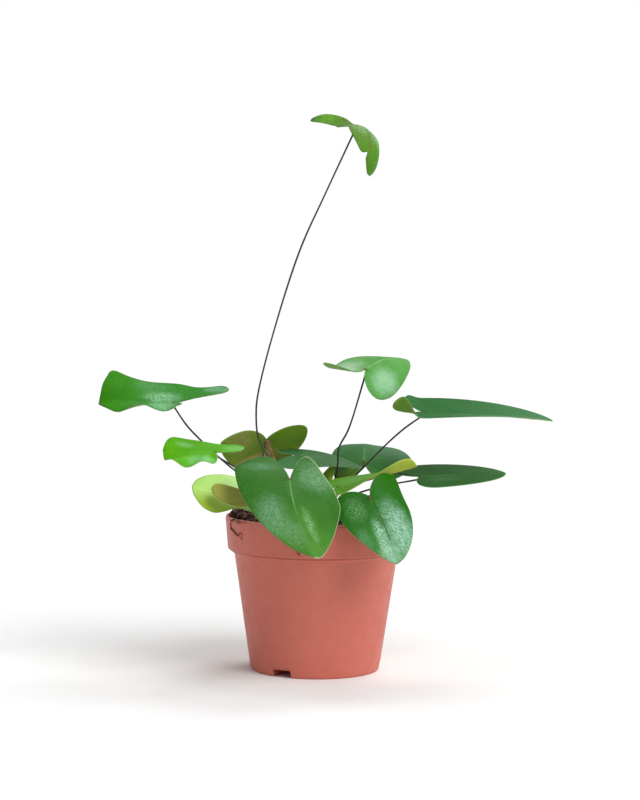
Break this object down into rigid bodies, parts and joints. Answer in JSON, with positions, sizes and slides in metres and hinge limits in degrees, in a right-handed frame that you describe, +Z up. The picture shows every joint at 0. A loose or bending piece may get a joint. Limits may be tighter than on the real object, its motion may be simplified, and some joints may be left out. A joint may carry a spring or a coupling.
{
  "type": "potted fern",
  "caption": "Small potted heart fern: heart-shaped green blades on thin dark stalks growing from dark peat in a round terracotta-coloured plastic nursery pot.",
  "frame": {"origin": "middle of the pot's flat floor, on the plane that it stands on", "axes": "+Z up along the pot's axis, the front of the plant, where two blades hang over the rim, faces -Y"},
  "size_m": [0.2632, 0.155, 0.3202],
  "materials": {
    "pot": "satin",
    "soil": "matt, crumbly",
    "crown": "matt, scaly",
    "stipe": "glossy",
    "leaf_dark": "semi-gloss",
    "leaf_mid": "semi-gloss",
    "leaf_light": "semi-gloss",
    "leaf_young": "satin",
    "leaf_olive": "satin",
    "leaf_blue": "satin"
  },
  "bodies": {
    "root": {"pot": "pot", "soil": "soil", "crown": "crown", "front_centre_blade": "leaf_dark", "front_centre_stipe": "stipe", "front_right_blade": "leaf_dark", "front_right_stipe": "stipe", "left_large_blade": "leaf_mid", "left_large_stipe": "stipe", "left_small_blade": "leaf_light", "left_small_stipe": "stipe", "left_young_blade": "leaf_young", "left_young_stipe": "stipe", "back_left_blade": "leaf_olive", "back_left_stipe": "stipe", "back_middle_blade": "leaf_blue", "back_middle_stipe": "stipe", "back_right_blade": "leaf_blue", "back_right_stipe": "stipe", "middle_small_blade": "leaf_mid", "middle_small_stipe": "stipe", "right_large_blade": "leaf_blue", "right_large_stipe": "stipe", "right_low_blade": "leaf_dark", "right_low_stipe": "stipe", "middle_young_blade": "leaf_light", "middle_young_stipe": "stipe", "tall_blade": "leaf_mid", "tall_stipe": "stipe", "young_right_blade": "leaf_young", "young_right_stipe": "stipe", "young_middle_blade": "leaf_young", "young_middle_stipe": "stipe", "young_front_blade": "leaf_young", "young_front_stipe": "stipe"}
  },
  "joints": []
}
